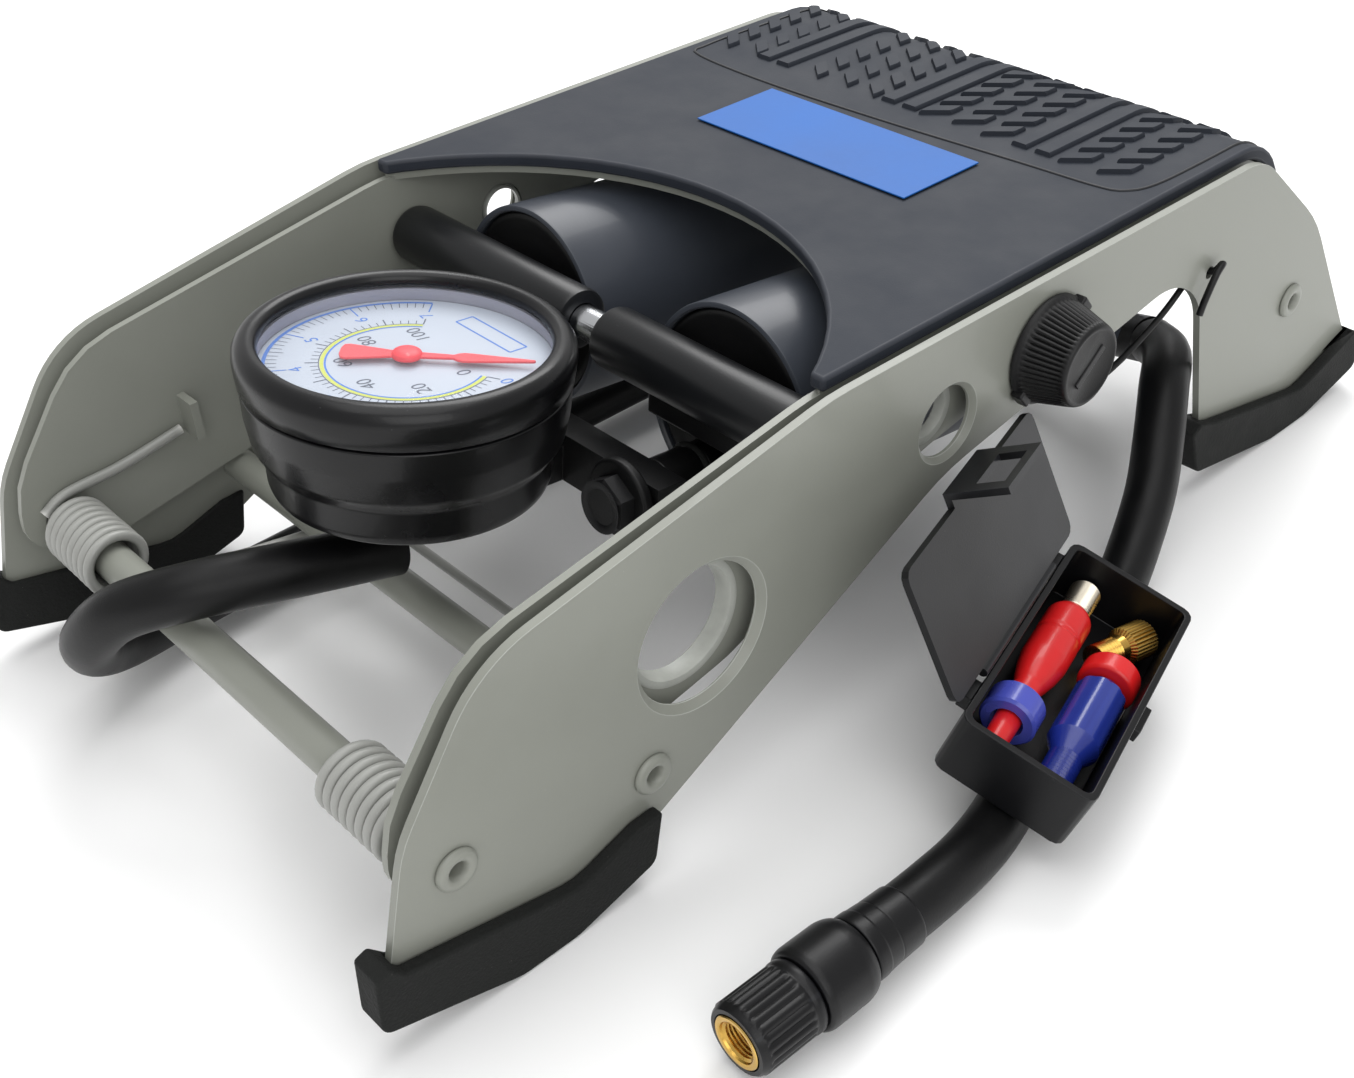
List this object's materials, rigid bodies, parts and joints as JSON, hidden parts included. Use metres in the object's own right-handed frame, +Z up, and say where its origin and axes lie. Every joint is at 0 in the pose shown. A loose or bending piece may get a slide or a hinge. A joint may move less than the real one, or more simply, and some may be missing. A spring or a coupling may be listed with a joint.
{
  "type": "double-barrel foot air pump",
  "caption": "Foot-operated air pump with a hinged pedal frame over twin barrels, a pressure gauge, a hose with a screw-on chuck and a clip-on adaptor box.",
  "frame": {"origin": "on the floor, under the middle of the pump's box without its free hose", "axes": "+X across the pump towards the lock knob and free hose, +Y from the hinge and gauge end to the rear of the pedal, +Z up"},
  "size_m": [0.2276, 0.3399, 0.0942],
  "materials": {
    "grey_paint": "satin warm grey paint",
    "spring_paint": "satin grey paint on wire",
    "foot_rubber": "matte black rubber",
    "pad_rubber": "matte charcoal rubber with moulded tread",
    "label": "printed blue film",
    "bright_steel": "bright plated steel",
    "barrel_paint": "satin dark grey paint",
    "black_plastic": "moulded black plastic",
    "gauge_plastic": "satin black moulding",
    "dial_face": "printed white dial",
    "gauge_window": "clear window",
    "needle_red": "red pointer",
    "brass": "turned brass",
    "red_plastic": "red moulding",
    "blue_plastic": "translucent blue moulding",
    "hose_rubber": "smooth black hose"
  },
  "bodies": {
    "base": {"side_panel_near": "grey_paint", "side_panel_far": "grey_paint", "front_foot_near": "foot_rubber", "front_foot_far": "foot_rubber", "rear_foot_near": "foot_rubber", "rear_foot_far": "foot_rubber", "hinge_axle": "grey_paint", "rear_axle": "bright_steel", "front_brace": "grey_paint", "rivet_hinge_near": "grey_paint", "rivet_hinge_far": "grey_paint", "rivet_brace_near": "grey_paint", "rivet_brace_far": "grey_paint", "rivet_rear_near": "grey_paint", "rivet_rear_far": "grey_paint", "return_spring": "spring_paint", "hose_tie": "black_plastic", "hose_held": "hose_rubber", "hose_free": "hose_rubber", "chuck_sleeve": "foot_rubber", "chuck_collar": "black_plastic", "accessory_box": "black_plastic", "adaptor_red": "red_plastic", "adaptor_silver_thread": "bright_steel", "adaptor_blue": "blue_plastic", "adaptor_red_ring": "red_plastic", "adaptor_brass": "brass", "adaptor_clip": "blue_plastic"},
    "pedal": {"pedal_frame": "grey_paint", "pedal_pad": "pad_rubber", "pad_label": "label", "cross_axle": "bright_steel", "spring_leg_near": "spring_paint", "spring_leg_far": "spring_paint"},
    "barrels": {"barrel_near": "barrel_paint", "barrel_far": "barrel_paint", "barrel_cap_near": "black_plastic", "barrel_cap_far": "black_plastic", "rod_guide_near": "black_plastic", "rod_guide_far": "black_plastic", "manifold_bar": "black_plastic", "banjo_bolt_near": "black_plastic", "banjo_bolt_far": "black_plastic", "gauge_body": "gauge_plastic", "gauge_bezel": "gauge_plastic", "gauge_dial": "dial_face", "gauge_lens": "gauge_window"},
    "rods": {"piston_near": "bright_steel", "piston_far": "bright_steel", "piston_cup_near": "foot_rubber", "piston_cup_far": "foot_rubber"},
    "needle": {"gauge_needle": "needle_red"},
    "lock": {"lock_knob": "black_plastic"},
    "lid": {"box_lid": "black_plastic"},
    "chuck": {"chuck_head": "black_plastic", "chuck_thread": "brass"}
  },
  "joints": [
    {"name": "pedal_hinge", "type": "hinge", "parent": "base", "child": "pedal", "pos_m": [-0.0043, -0.1481, 0.0347], "axis": [1, 0, 0], "range_deg": [0, 36], "deforming": ["hose_held"]},
    {"name": "barrel_swing", "type": "hinge", "parent": "pedal", "child": "barrels", "pos_m": [-0.0043, -0.0433, 0.0712], "axis": [1, 0, 0], "range_deg": [-50, 0]},
    {"name": "piston_slide", "type": "slide", "parent": "barrels", "child": "rods", "axis": [0, 0.9934, -0.1149], "range_m": [0, 0.052]},
    {"name": "needle_turn", "type": "hinge", "parent": "barrels", "child": "needle", "pos_m": [-0.0043, -0.09421, 0.08363], "axis": [0, -0.1149, -0.9934], "range_deg": [0, 270], "stiffness_Nm_per_rad": 0.0005},
    {"name": "lock_turn", "type": "hinge", "parent": "base", "child": "lock", "pos_m": [0.0757, 0.0171, 0.0731], "axis": [1, 0, 0], "range_deg": [0, 90]},
    {"name": "lid_hinge", "type": "hinge", "parent": "base", "child": "lid", "pos_m": [0.10262, -0.02131, 0.03498], "axis": [-0.2924, 0.9563, 0], "range_deg": [0, 134]},
    {"name": "chuck_turn", "type": "hinge", "parent": "base", "child": "chuck", "pos_m": [0.12417, -0.10949, 0.0093], "axis": [0.0262, 0.9997, 0], "continuous": true}
  ],
  "couplings": [
    {"joint": "barrel_swing", "follows": "pedal_hinge", "ratio": -1.3857},
    {"joint": "piston_slide", "follows": "pedal_hinge", "m_per_rad": 0.082255}
  ]
}
